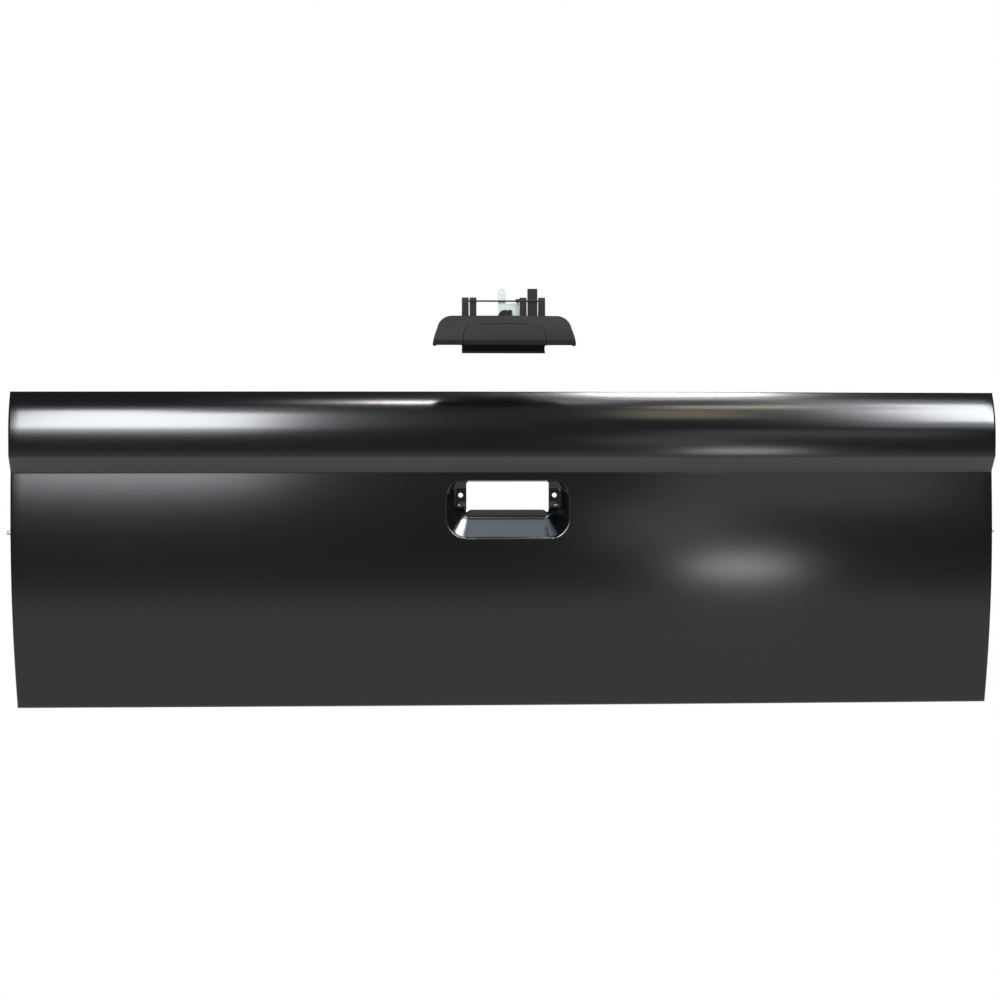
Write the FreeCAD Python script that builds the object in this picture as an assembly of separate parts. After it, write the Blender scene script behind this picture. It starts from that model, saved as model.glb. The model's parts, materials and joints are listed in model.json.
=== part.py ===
import FreeCAD, Part
import math
import os

# Pickup truck tailgate shell with its outside handle taken off and shown above it.
# X runs across the truck, Z is up, the painted outer face looks towards -Y.
# The origin is the middle of the bottom flange, which the hinges bolt to.
Vector = FreeCAD.Vector

# Tailgate envelope
width = 1420.0
height = 452.0
crown_bow = 12.0
bottom_taper = 8.0
edge_radius = 3.0
back_y = 17.0

# Section of the outer face
face_y = -35.0
face_crown_z = 277.0
face_tuck = 20.0
roll_overhang = 23.0
roll_crown_z = 392.0
roll_radius = 106.0
roll_lower_radius = 260.0
roll_bottom_z = 357.6
step_angle = 46.0
step_radius = 4.0
crease_radius = 3.0

# Sheet metal
outer_sheet = 1.3
inner_sheet = 1.3
plate_sheet = 2.0
lap_gap = 0.15
lap_depth = 14.0
outer_flange_y = 9.0

# Drawn recess for the handle
recess_width = 174.0
recess_top_z = 324.2
recess_height = 83.8
recess_top_radius = 21.0
recess_bottom_radius = 28.0
recess_top_wall = 8.0
recess_depth = 31.0
recess_ridge_z = 272.5
recess_back_width = 156.0
recess_ridge_width = 130.0
recess_back_radius = 9.0
recess_rim_radius = 2.5
recess_floor_radius = 4.0
recess_surround = 40.0

# Window and screw seats in the recess
window_width = 119.0
window_top_z = 322.8
window_bottom_z = 282.3
window_corner_radius = 3.5
window_notch_width = 7.0
window_notch_depth = 3.7
screw_spacing = 135.6
screw_z = 303.4
screw_hole_radius = 3.45
seat_depth = 12.0
seat_outer_reach = 8.7
seat_top_z = 312.0
seat_bottom_z = 285.0
seat_corner_radius = 9.0

# Inner panel
inner_corner_radius = 8.0
access_width = 330.0
access_top_z = 352.0
access_bottom_z = 212.0
access_radius = 24.0
access_lip = 4.0
bead_depth = 8.0
bead_draft = 5.0
bead_radius = 26.0
bead_side_margin = 62.0
bead_inner_x = 205.0
bead_top_z = 392.0
bead_bottom_z = 60.0
rib_count = 3
rib_width = 26.0
cover_screw_margin = 13.0
cover_screw_radius = 2.6

# Latches, straps and hinges
latch_z = 322.0
latch_y = -4.0
latch_height = 46.0
latch_depth = 18.0
latch_screw_spacing = 66.0
latch_screw_radius = 3.3
strap_z = 251.0
strap_y = 0.0
strap_hole_radius = 5.25
strap_collar_radius = 7.5
strap_collar = 2.5
strap_pin_radius = 2.9
strap_pin_length = 5.5
hinge_x = 520.0
hinge_bolt_spacing = 60.0
hinge_bolt_y = 3.0
hinge_hole_radius = 4.25
drain_x = 330.0
drain_radius = 4.0
hinge_plate_length = 130.0
hinge_plate_reach = 5.4
latch_plate_height = 108.0
top_plate_length = 1280.0
nut_height = 6.5
nut_across_flats = 13.0
strap_nut_height = 8.0
strap_nut_across_flats = 17.0

# Handle, in its fitted place, before it is lifted off
handle_width = 200.7
handle_height = 41.0
handle_bottom_z = 287.0
handle_proud = 12.5
handle_end_drop = 6.0
handle_top_drop = 8.0
handle_under_height = 6.4
handle_under_depth = 3.2
handle_edge_radius = 1.2
handle_shoulder = 28.6
handle_tip_drop = 1.6
handle_tip_width = 6.0
handle_wall = 3.0
handle_seat_gap = 1.0
paddle_width = 115.0
paddle_height = 31.8
paddle_corner_radius = 18.5
paddle_gap = 0.8
frame_lip = 6.5
shaft_radius = 1.2
shaft_rise = 63.6
shaft_behind_face = 16.5
shaft_fit = 0.05
lug_radius = 5.0
lug_gap = 1.6
ear_width = 9.3
ear_foot_rise = 48.5
ear_foot_step = 0.8
lever_width = 13.6
lever_reach = 17.1
tray_wall = 2.5
tray_side_gap = 1.0
tray_back_y = -10.0
tray_top_rise = 34.5
tray_drop = 9.4
tray_sill = 9.0

# Small parts of the handle
tab_thickness = 1.2
tab_x = -2.0
tab_half_width = 5.2
tab_rise = 18.2
tab_hole_rise = 12.4
tab_hole_radius = 1.9
tab_plate_right_x = 22.9
tab_plate_drop = 3.0
clip_x = 2.1
clip_radius = 9.7
clip_rise = 41.2
clip_depth = 6.0
clip_block_width = 5.0
stud_radius = 3.0
stud_length = 26.0
boss_radius = 6.0
spring_wire_radius = 0.6
spring_coil_radius = 2.6
spring_pitch = 1.5
spring_turns = 3
spring_leg = 9.0

# Where the photographed handle is held, from its fitted place
lift_x = -10.6
lift_y = -91.0
lift_z = 224.1

# Values worked out from the sizes above
half_width = width / 2
plan_radius = (half_width ** 2 + crown_bow ** 2) / (2 * crown_bow)
plan_axis_y = face_y + plan_radius
roll_y = face_y - roll_overhang
barrel_radius = (face_crown_z ** 2 + face_tuck ** 2) / (2 * face_tuck)
beyond = 15.0
recess_bottom_z = recess_top_z - recess_height
shaft_y = face_y + shaft_behind_face
shaft_z = handle_bottom_z + shaft_rise
handle_back_y = face_y - handle_seat_gap
handle_front_y = handle_back_y - handle_proud
lift = Vector(lift_x, lift_y, lift_z)


def box(low, high):
    size = [high[i] - low[i] for i in range(3)]
    return Part.makeBox(size[0], size[1], size[2], Vector(*low))


def cylinder(radius, start, end):
    direction = Vector(*end) - Vector(*start)
    return Part.makeCylinder(radius, direction.Length, Vector(*start), direction)


def hexagon_nut(across_flats, hole_radius, thickness, centre, direction):
    points = []
    for corner in range(7):
        angle = math.radians(60 * corner)
        reach = across_flats / math.sqrt(3)
        points.append(Vector(reach * math.cos(angle), reach * math.sin(angle), 0))
    nut = Part.Face(Part.makePolygon(points)).extrude(Vector(0, 0, thickness))
    nut = nut.cut(Part.makeCylinder(hole_radius, thickness))
    nut.Placement = FreeCAD.Placement(Vector(*centre), FreeCAD.Rotation(Vector(0, 0, 1), Vector(*direction)))
    return nut


def rounded_outline(half, low, high, low_radius, high_radius, place, low_half=None):
    # Rounded rectangle or trapezium; place turns an (across, up) pair into a point in space.
    wide = half if low_half is None else low_half
    corners = [(wide, low, low_radius), (half, high, high_radius),
               (-half, high, high_radius), (-wide, low, low_radius)]
    ends = []
    edges = []
    for index, (x, z, radius) in enumerate(corners):
        before = corners[index - 1]
        after = corners[(index + 1) % 4]
        to_before = Vector(before[0] - x, before[1] - z, 0).normalize()
        to_after = Vector(after[0] - x, after[1] - z, 0).normalize()
        half_angle = to_before.getAngle(to_after) / 2
        corner = Vector(x, z, 0)
        start = corner + to_before * (radius / math.tan(half_angle))
        end = corner + to_after * (radius / math.tan(half_angle))
        inward = (to_before + to_after).normalize()
        middle = corner + inward * (radius / math.sin(half_angle) - radius)
        arc = Part.Arc(place(start.x, start.y), place(middle.x, middle.y), place(end.x, end.y))
        edges.append(arc.toShape())
        ends.append((start, end))
    ordered = []
    for index in range(4):
        leave = ends[index][1]
        reach = ends[(index + 1) % 4][0]
        ordered.append(edges[index])
        ordered.append(Part.makeLine(place(leave.x, leave.y), place(reach.x, reach.y)))
    return Part.Wire(ordered)


def upright(y):
    return lambda x, z: Vector(x, y, z)


def rounded_block(half, low, high, low_radius, high_radius, y_start, y_end):
    wire = rounded_outline(half, low, high, low_radius, high_radius, upright(y_start))
    return Part.Face(wire).extrude(Vector(0, y_end - y_start, 0))


def line_meets_circle(point, direction, centre, radius, near):
    # Both in the (y, z) plane; of the two crossings the one nearest to near.
    offset_y = point[0] - centre[0]
    offset_z = point[1] - centre[1]
    half_b = offset_y * direction[0] + offset_z * direction[1]
    c = offset_y ** 2 + offset_z ** 2 - radius ** 2
    root = math.sqrt(half_b ** 2 - c)
    found = []
    for step in (-half_b - root, -half_b + root):
        found.append((point[0] + step * direction[0], point[1] + step * direction[1]))
    return min(found, key=lambda p: math.dist(p, near))


def lines_meet(point_a, direction_a, point_b, direction_b):
    cross = direction_a[0] * direction_b[1] - direction_a[1] * direction_b[0]
    gap = (point_b[0] - point_a[0], point_b[1] - point_a[1])
    step = (gap[0] * direction_b[1] - gap[1] * direction_b[0]) / cross
    return (point_a[0] + step * direction_a[0], point_a[1] + step * direction_a[1])


def face_point(centre, radius, z):
    return (centre[0] - math.sqrt(radius ** 2 - (z - centre[1]) ** 2), z)


def section(inset):
    # Outer face in the (y, z) plane at x = 0, moved inwards by inset, from the top down.
    upper_centre = (roll_y + roll_radius, roll_crown_z)
    lower_centre = (roll_y + roll_lower_radius, roll_crown_z)
    barrel_centre = (face_y + barrel_radius, face_crown_z)
    step_top = face_point(lower_centre, roll_lower_radius, roll_bottom_z)
    angle = math.radians(step_angle)
    step_direction = (math.sin(angle), -math.cos(angle))
    step_inward = (math.cos(angle), math.sin(angle))
    crease = line_meets_circle(step_top, step_direction, barrel_centre, barrel_radius,
                               (face_y, roll_bottom_z - roll_overhang))
    moved = (step_top[0] + inset * step_inward[0], step_top[1] + inset * step_inward[1])
    step_top_in = line_meets_circle(moved, step_direction, lower_centre, roll_lower_radius - inset, step_top)
    crease_in = line_meets_circle(moved, step_direction, barrel_centre, barrel_radius - inset, crease)
    top = face_point(upper_centre, roll_radius - inset, height + beyond)
    crown = (roll_y + inset, roll_crown_z)
    bottom = face_point(barrel_centre, barrel_radius - inset, -beyond)
    upper_middle = face_point(upper_centre, roll_radius - inset, (top[1] + crown[1]) / 2)
    lower_middle = face_point(lower_centre, roll_lower_radius - inset, (crown[1] + step_top_in[1]) / 2)
    barrel_middle = face_point(barrel_centre, barrel_radius - inset, (crease_in[1] + bottom[1]) / 2)
    return {"top": top, "upper": upper_middle, "crown": crown, "lower": lower_middle,
            "step": step_top_in, "crease": crease_in, "barrel": barrel_middle, "bottom": bottom}


def in_plane(point):
    return Vector(0, point[0], point[1])


def bowed_solid(inset):
    # The section swept about a far upright axis, which bows the face in plan.
    s = section(inset)
    rear = back_y + beyond
    edges = [
        Part.makeLine(Vector(0, rear, s["top"][1]), in_plane(s["top"])),
        Part.Arc(in_plane(s["top"]), in_plane(s["upper"]), in_plane(s["crown"])).toShape(),
        Part.Arc(in_plane(s["crown"]), in_plane(s["lower"]), in_plane(s["step"])).toShape(),
        Part.makeLine(in_plane(s["step"]), in_plane(s["crease"])),
        Part.Arc(in_plane(s["crease"]), in_plane(s["barrel"]), in_plane(s["bottom"])).toShape(),
        Part.makeLine(in_plane(s["bottom"]), Vector(0, rear, s["bottom"][1])),
        Part.makeLine(Vector(0, rear, s["bottom"][1]), Vector(0, rear, s["top"][1])),
    ]
    face = Part.Face(Part.Wire(edges))
    half_angle = math.degrees(math.asin((half_width + beyond) / plan_radius))
    axis = Vector(0, plan_axis_y, 0)
    face.rotate(axis, Vector(0, 0, 1), -half_angle)
    return face.revolve(axis, Vector(0, 0, 1), 2 * half_angle)


def end_outline_block(inset, y_start, y_end):
    # Front outline of the tailgate: upright ends that curve in towards the bottom.
    half = half_width - inset
    low = inset
    high = height - inset
    end_radius = (face_crown_z ** 2 + bottom_taper ** 2) / (2 * bottom_taper)

    def end_x(z):
        drop = face_crown_z - z
        return half - (end_radius - math.sqrt(end_radius ** 2 - drop ** 2))

    place = upright(y_start)
    middle_z = (face_crown_z + low) / 2
    edges = []
    for side in (1, -1):
        widest = place(side * half, face_crown_z)
        foot = place(side * end_x(low), low)
        edges.append(Part.makeLine(place(side * half, high), widest))
        edges.append(Part.Arc(widest, place(side * end_x(middle_z), middle_z), foot).toShape())
    edges.append(Part.makeLine(place(-half, high), place(half, high)))
    edges.append(Part.makeLine(place(-end_x(low), low), place(end_x(low), low)))
    wire = Part.Wire(Part.__sortEdges__(edges))
    return Part.Face(wire).extrude(Vector(0, y_end - y_start, 0))


def follows_bend(edge, corner):
    # True for an edge that runs across the tailgate along one bend of the section.
    for parameter in (edge.FirstParameter, (edge.FirstParameter + edge.LastParameter) / 2, edge.LastParameter):
        point = edge.valueAt(parameter)
        reach = math.hypot(point.x, point.y - plan_axis_y)
        if abs(reach - (plan_axis_y - corner[0])) > 0.3 or abs(point.z - corner[1]) > 0.3:
            return False
    return True


def body_solid(inset, rear_y):
    # Everything inside the outer face, with the bends of the roll and step rounded.
    s = section(inset)
    swept = bowed_solid(inset)
    convex = [e for e in swept.Edges if follows_bend(e, s["step"])]
    swept = swept.makeFillet(step_radius - inset, convex)
    concave = [e for e in swept.Edges if follows_bend(e, s["crease"])]
    swept = swept.makeFillet(crease_radius + inset, concave)
    front_y = roll_y - beyond
    return swept.common(end_outline_block(inset, front_y, rear_y))


def rounded_front(solid, rear_y):
    # Rounds the whole loop where the face turns into the flanges.
    loop = []
    for edge in solid.Edges:
        middle = edge.valueAt((edge.FirstParameter + edge.LastParameter) / 2)
        near_rear = abs(middle.y - rear_y) < 0.5
        faces = [f for f in solid.Faces if any(edge.isSame(e) for e in f.Edges)]
        flange_faces = [f for f in faces if abs(f.normalAt(*f.Surface.parameter(middle)).y) < 0.001]
        if len(flange_faces) == 1 and not near_rear:
            loop.append(edge)
    return solid.makeFillet(edge_radius, loop)


def recess_section(grow):
    # Side view of the recess, in (y, z), with each wall moved outwards by grow.
    rim_top = (face_y, recess_top_z)
    rim_bottom = (face_y, recess_bottom_z)
    back_top = (face_y + recess_top_wall, recess_top_z - 0.5)
    back_bottom = (face_y + recess_depth, recess_ridge_z)
    front_y = face_y - beyond

    def unit(a, b):
        length = math.dist(a, b)
        return ((b[0] - a[0]) / length, (b[1] - a[1]) / length)

    def shifted(point, direction):
        # Each wall is listed clockwise, so outwards is to the left of its direction.
        return (point[0] - grow * direction[1], point[1] + grow * direction[0])

    top_direction = unit(rim_top, back_top)
    back_direction = unit(back_top, back_bottom)
    scoop_direction = unit(back_bottom, rim_bottom)
    top_point = shifted(rim_top, top_direction)
    back_point = shifted(back_top, back_direction)
    scoop_point = shifted(back_bottom, scoop_direction)
    front = ((front_y, 0), (0, 1))
    return {
        "front_top": lines_meet(top_point, top_direction, *front),
        "back_top": lines_meet(top_point, top_direction, back_point, back_direction),
        "back_bottom": lines_meet(back_point, back_direction, scoop_point, scoop_direction),
        "front_bottom": lines_meet(scoop_point, scoop_direction, *front),
    }


def before_rim(at_rim, at_back, depth):
    # Value ahead of the face that gives at_rim in the face and at_back on the back wall.
    share = beyond / (beyond + depth)
    return (at_rim - share * at_back) / (1 - share)


def recess_plug(grow):
    # The space inside the recess, drawn from its front outline to its sloping back wall.
    s = recess_section(grow)
    rim_half = recess_width / 2
    back_half = recess_back_width / 2
    ridge_half = recess_ridge_width / 2
    mean_slope = (rim_half - (back_half + ridge_half) / 2) / ((recess_top_wall + recess_depth) / 2)
    side_grow = grow / math.cos(math.atan(mean_slope))
    back_length = math.dist(s["back_top"], s["back_bottom"])
    up = ((s["back_top"][0] - s["back_bottom"][0]) / back_length,
          (s["back_top"][1] - s["back_bottom"][1]) / back_length)

    def on_back(x, along):
        return Vector(x, s["back_bottom"][0] + along * up[0], s["back_bottom"][1] + along * up[1])

    front = rounded_outline(
        before_rim(rim_half, back_half, recess_top_wall) + side_grow,
        s["front_bottom"][1], s["front_top"][1],
        before_rim(recess_bottom_radius, recess_back_radius, recess_depth) + grow,
        before_rim(recess_top_radius, recess_back_radius, recess_top_wall) + grow,
        upright(face_y - beyond), before_rim(rim_half, ridge_half, recess_depth) + side_grow)
    back = rounded_outline(back_half + side_grow, 0, back_length, recess_back_radius + grow,
                           recess_back_radius + grow, on_back, ridge_half + side_grow)
    plug = Part.makeLoft([front, back], True, True)
    floor_edges = [e for e in plug.Edges if e.CenterOfMass.y > face_y + recess_top_wall - 2
                   and all(v.Y > face_y + 2 for v in e.Vertexes)]
    plug = plug.makeFillet(recess_floor_radius + grow, floor_edges)
    return plug.cut(screw_seats(grow))


def screw_seats(grow):
    # Flat seats that stand out from the sloping back wall around the two screw holes.
    inner_x = window_width / 2 - 4 + grow
    outer_x = screw_spacing / 2 + seat_outer_reach - grow
    seats = []
    for side in (-1, 1):
        half = (outer_x - inner_x) / 2
        centre = side * (outer_x + inner_x) / 2
        seat = rounded_block(half, seat_bottom_z + grow, seat_top_z - grow, seat_corner_radius / 2,
                             seat_corner_radius / 2, face_y + seat_depth + grow, back_y)
        seat.translate(Vector(centre, 0, 0))
        seats.append(seat)
    return seats[0].fuse(seats[1])


def window_cutter(grow, y_start, y_end):
    half = window_width / 2 + grow
    opening = rounded_block(half, window_bottom_z - grow, window_top_z + grow, window_corner_radius,
                            window_corner_radius, y_start, y_end)
    for side in (-1, 1):
        outer = side * half
        inner = side * (half - window_notch_width)
        low = window_bottom_z - grow
        points = [Vector(outer, y_start, low - window_notch_depth),
                  Vector(outer - side * 2, y_start, low - window_notch_depth),
                  Vector(inner, y_start, low), Vector(inner, y_start, low + 5),
                  Vector(outer, y_start, low + 5)]
        notch = Part.Face(Part.makePolygon(points + points[:1])).extrude(Vector(0, y_end - y_start, 0))
        opening = opening.fuse(notch)
    return opening


def screw_cutters(radius, y_start, y_end):
    holes = [cylinder(radius, (side * screw_spacing / 2, y_start, screw_z),
                      (side * screw_spacing / 2, y_end, screw_z)) for side in (-1, 1)]
    return holes[0].fuse(holes[1])


def end_cutters():
    # Latch openings, their screw holes and the strap holes through the walls of each end.
    cutters = []
    reach = 40.0
    for side in (-1, 1):
        inner = side * (half_width - reach)
        outer = side * (half_width + reach)
        low_x, high_x = min(inner, outer), max(inner, outer)
        cutters.append(box((low_x, latch_y - latch_depth / 2, latch_z - latch_height / 2),
                           (high_x, latch_y + latch_depth / 2, latch_z + latch_height / 2)))
        cutters.append(cylinder(strap_hole_radius, (inner, strap_y, strap_z), (outer, strap_y, strap_z)))
        for step in (-0.5, 0.5):
            z = latch_z + step * latch_screw_spacing
            cutters.append(cylinder(latch_screw_radius, (inner, latch_y, z), (outer, latch_y, z)))
    return cutters


def hinge_cutters(radius, low, high):
    holes = []
    for side in (-1, 1):
        for step in (-0.5, 0.5):
            x = side * hinge_x + step * hinge_bolt_spacing
            holes.append(cylinder(radius, (x, hinge_bolt_y, low), (x, hinge_bolt_y, high)))
    return holes


def make_outer_panel():
    outside = rounded_front(body_solid(0, back_y - lap_gap), back_y - lap_gap)
    inside = rounded_front(body_solid(outer_sheet, back_y + beyond), back_y + beyond)
    outside = with_recess(outside, 0, recess_rim_radius + outer_sheet)
    inside = with_recess(inside, outer_sheet, recess_rim_radius)
    panel = outside.cut(inside)
    panel = panel.cut(box((-width, outer_flange_y, -beyond), (width, back_y + 2 * beyond, height + beyond)))
    panel = panel.cut(window_cutter(0, face_y - beyond, back_y))
    panel = panel.cut(screw_cutters(screw_hole_radius, face_y - beyond, back_y))
    return panel.cut(end_cutters() + hinge_cutters(hinge_hole_radius, -1, 10) + drain_cutters())


def drain_cutters():
    drains = []
    for side in (-1, 1):
        x = side * drain_x
        drains.append(cylinder(drain_radius, (x, hinge_bolt_y, -1), (x, hinge_bolt_y, 10)))
    return drains


def with_recess(solid, grow, rim_radius):
    # The rim is rounded on a block around the recess, which then goes back into the solid.
    half = recess_width / 2 + recess_surround
    block = box((-half, face_y - beyond, recess_bottom_z - recess_surround),
                (half, back_y - recess_surround / 4, recess_top_z + rim_radius + 1.5))
    local = solid.common(block).cut(recess_plug(grow))
    rim = []
    for edge in local.Edges:
        middle = edge.valueAt((edge.FirstParameter + edge.LastParameter) / 2)
        inside_z = recess_bottom_z - 4 < middle.z < recess_top_z + 4
        on_face = abs(middle.y - face_y - grow) < 1.6 and edge.Length > seat_corner_radius
        if abs(middle.x) < recess_width / 2 + 5 and inside_z and on_face:
            rim.append(edge)
    return solid.cut(block).fuse(local.makeFillet(rim_radius, rim)).removeSplitter()


def bead_plug(centre_x, half, low, high, grow):
    # A shallow pressing in the inner panel with sloping sides.
    shallow = upright(back_y + 1)
    deep = upright(back_y - bead_depth - grow)
    slope = bead_draft / bead_depth
    wide = half + slope + grow
    narrow = half - bead_draft + grow
    outer = rounded_outline(wide, low - slope - grow, high + slope + grow, bead_radius, bead_radius, shallow)
    inner = rounded_outline(narrow, low + bead_draft - grow, high - bead_draft + grow,
                            bead_radius - bead_draft, bead_radius - bead_draft, deep)
    plug = Part.makeLoft([outer, inner], True, True)
    plug.translate(Vector(centre_x, 0, 0))
    return plug


def inner_pressings(grow):
    # Two wide pressings beside the access opening, each split by flat ribs.
    plugs = []
    outer_x = half_width - bead_side_margin
    half = (outer_x - bead_inner_x) / 2
    span = bead_top_z - bead_bottom_z
    panel_height = (span - (rib_count - 1) * rib_width) / rib_count
    for side in (-1, 1):
        for index in range(rib_count):
            low = bead_bottom_z + index * (panel_height + rib_width)
            plugs.append(bead_plug(side * (outer_x + bead_inner_x) / 2, half, low, low + panel_height, grow))
    return plugs


def make_inner_panel():
    front_y = outer_flange_y - lap_depth
    inset = outer_sheet + lap_gap
    outside = end_outline_block(inset, front_y, back_y)
    rear = [e for e in outside.Edges if all(abs(v.Y - back_y) < 0.01 for v in e.Vertexes)]
    outside = outside.makeFillet(inner_corner_radius, rear)
    inside = end_outline_block(inset + inner_sheet, front_y - 1, back_y - inner_sheet)
    rear = [e for e in inside.Edges if all(abs(v.Y - back_y + inner_sheet) < 0.01 for v in e.Vertexes)]
    inside = inside.makeFillet(inner_corner_radius - inner_sheet, rear)
    panel = outside.cut(inner_pressings(0)).cut(inside.cut(inner_pressings(inner_sheet)))
    half = access_width / 2
    centre_z = (access_top_z + access_bottom_z) / 2
    lip = rounded_block(half, access_bottom_z, access_top_z, access_radius, access_radius,
                        back_y - inner_sheet - access_lip, back_y - inner_sheet / 2)
    panel = panel.fuse(lip)
    opening = rounded_block(half - inner_sheet, access_bottom_z + inner_sheet, access_top_z - inner_sheet,
                            access_radius - inner_sheet, access_radius - inner_sheet, front_y, back_y + 1)
    panel = panel.cut(opening)
    cuts = end_cutters() + hinge_cutters(hinge_hole_radius, -1, 10) + cover_screw_cutters() + drain_cutters()
    return panel.cut(cuts).common(bowed_solid(inset + edge_radius))


def cover_screw_cutters():
    # Four screw holes for the access cover, outside the corners of its opening.
    holes = []
    for side in (-1, 1):
        x = side * (access_width / 2 + cover_screw_margin)
        for z in (access_bottom_z - cover_screw_margin, access_top_z + cover_screw_margin):
            holes.append(cylinder(cover_screw_radius, (x, back_y - beyond, z), (x, back_y + 1, z)))
    return holes


def make_top_reinforcement():
    # Angle under the top edge, clear of the bend between the inner panel's top and back.
    top = height - outer_sheet - inner_sheet - 2 * lap_gap
    back = back_y - inner_sheet - lap_gap
    bend = inner_corner_radius
    t = plate_sheet
    x = -top_plate_length / 2
    profile = [(back_y - 45, top), (back - bend, top), (back, top - bend), (back, top - 42),
               (back - t, top - 42), (back - t, top - bend - t / 2), (back - bend - t / 2, top - t),
               (back_y - 45, top - t)]
    points = [Vector(x, y, z) for y, z in profile]
    return Part.Face(Part.makePolygon(points + points[:1])).extrude(Vector(top_plate_length, 0, 0))


def make_latch_reinforcement(side):
    # Plate inside an end wall, around the latch opening.
    wall = outer_sheet + inner_sheet + 2 * lap_gap
    outer = side * (half_width - wall)
    inner = side * (half_width - wall - plate_sheet)
    low_y, high_y = latch_y - latch_depth / 2 - 5, latch_y + latch_depth / 2 + 4
    plate = box((min(inner, outer), low_y, latch_z - latch_plate_height / 2),
                (max(inner, outer), high_y, latch_z + latch_plate_height / 2))
    upright_edges = [e for e in plate.Edges if abs(e.tangentAt(0).x) > 0.9]
    return plate.makeFillet(5, upright_edges).cut(end_cutters())


def make_strap_stud(side):
    # Shouldered stud that the strap hooks over, screwed into the nut behind the end wall.
    shank_end = side * (half_width - outer_sheet - inner_sheet - plate_sheet - strap_nut_height)
    face = side * half_width
    collar_end = side * (half_width + strap_collar)
    pin_end = side * (half_width + strap_collar + strap_pin_length)
    stud = cylinder(strap_hole_radius - 0.25, (shank_end, strap_y, strap_z), (face, strap_y, strap_z))
    return stud.fuse([cylinder(strap_collar_radius, (face, strap_y, strap_z), (collar_end, strap_y, strap_z)),
                      cylinder(strap_pin_radius, (collar_end, strap_y, strap_z), (pin_end, strap_y, strap_z))])


def make_strap_nut(side):
    x = side * (half_width - outer_sheet - inner_sheet - 2 * lap_gap)
    return hexagon_nut(strap_nut_across_flats, strap_hole_radius - 0.25, strap_nut_height,
                       (x, strap_y, strap_z), (-side, 0, 0))


def make_hinge_reinforcement(side):
    # Plate on the inside of the bottom wall that spreads the load of a hinge.
    low = outer_sheet + inner_sheet + 2 * lap_gap
    x = side * hinge_x
    half = hinge_plate_length / 2
    plate = box((x - half, hinge_bolt_y - hinge_plate_reach, low),
                (x + half, hinge_bolt_y + hinge_plate_reach, low + plate_sheet))
    return plate.cut(hinge_cutters(hinge_hole_radius, -1, 10))


def make_hinge_nut(side, step):
    x = side * hinge_x + step * hinge_bolt_spacing / 2
    low = outer_sheet + inner_sheet + plate_sheet + 2 * lap_gap
    return hexagon_nut(nut_across_flats, hinge_hole_radius, nut_height, (x, hinge_bolt_y, low), (0, 0, 1))


def make_handle_reinforcement():
    # Plate behind the recess that follows its sloping back wall and carries the screw nuts.
    near = recess_plug(outer_sheet + lap_gap)
    far = recess_plug(outer_sheet + lap_gap + plate_sheet)
    plate = far.cut(near)
    keep_half = recess_back_width / 2 - 1
    keep = box((-keep_half, face_y + seat_depth - 4, window_bottom_z - 8), (keep_half, back_y, window_top_z - 2))
    plate = plate.common(keep)
    plate = plate.cut(window_cutter(2.0, face_y - beyond, back_y))
    return plate.cut(screw_cutters(screw_hole_radius + 0.3, face_y - beyond, back_y))


def handle_outline(inset, y):
    # Wing outline of the bezel: straight top, drooping shoulders and rounded tips.
    half = handle_width / 2 - inset
    top = handle_bottom_z + handle_height - inset
    low = handle_bottom_z + inset
    place = upright(y)
    top_x = half - handle_shoulder
    bottom_x = half - handle_tip_width
    edges = []
    for side in (1, -1):
        a = place(side * top_x, top)
        b = place(side * (half - handle_shoulder * 0.46), top - handle_height * 0.125)
        c = place(side * (half - handle_shoulder * 0.22), top - handle_height * 0.42)
        d = place(side * (half - handle_shoulder * 0.09), top - handle_height * 0.67)
        e = place(side * half, low + handle_height * 0.06)
        edges.append(Part.Arc(a, b, c).toShape())
        edges.append(Part.Arc(c, d, e).toShape())
        tip = place(side * (half - handle_tip_width * 0.45), low - handle_tip_drop)
        edges.append(Part.Arc(e, place(side * (half - 0.6), low - 0.6), tip).toShape())
        edges.append(Part.makeLine(tip, place(side * bottom_x, low)))
    edges.append(Part.makeLine(place(-top_x, top), place(top_x, top)))
    edges.append(Part.makeLine(place(-bottom_x, low), place(bottom_x, low)))
    return Part.Wire(Part.__sortEdges__(edges))


def pillow(inset):
    # Convex outer form of the handle, moved inwards by inset: its side view swept in a wide bow.
    far_y = handle_front_y - beyond
    block = Part.Face(handle_outline(inset, far_y)).extrude(Vector(0, handle_back_y + inset - far_y, 0))
    front = handle_front_y + inset
    low = handle_bottom_z - beyond / 2
    under = handle_bottom_z + handle_under_height
    high = handle_bottom_z + handle_height + 2
    under_slope = handle_under_depth / handle_under_height
    lowest = Vector(0, front + (under - low) * under_slope, low)
    knee = Vector(0, front, under)
    swell = Vector(0, front + handle_top_drop * 0.28, (under + high) / 2)
    highest = Vector(0, front + handle_top_drop, high)
    side = Part.Wire([
        Part.makeLine(lowest, knee),
        Part.Arc(knee, swell, highest).toShape(),
        Part.makeLine(highest, Vector(0, back_y, high)),
        Part.makeLine(Vector(0, back_y, high), Vector(0, back_y, low)),
        Part.makeLine(Vector(0, back_y, low), lowest),
    ])
    half = handle_width / 2
    bow_radius = (half ** 2 + handle_end_drop ** 2) / (2 * handle_end_drop)
    axis = Vector(0, handle_front_y + bow_radius, 0)
    half_angle = math.degrees(math.asin((half + beyond) / bow_radius))
    face = Part.Face(side)
    face.rotate(axis, Vector(0, 0, 1), -half_angle)
    return block.common(face.revolve(axis, Vector(0, 0, 1), 2 * half_angle))


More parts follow.
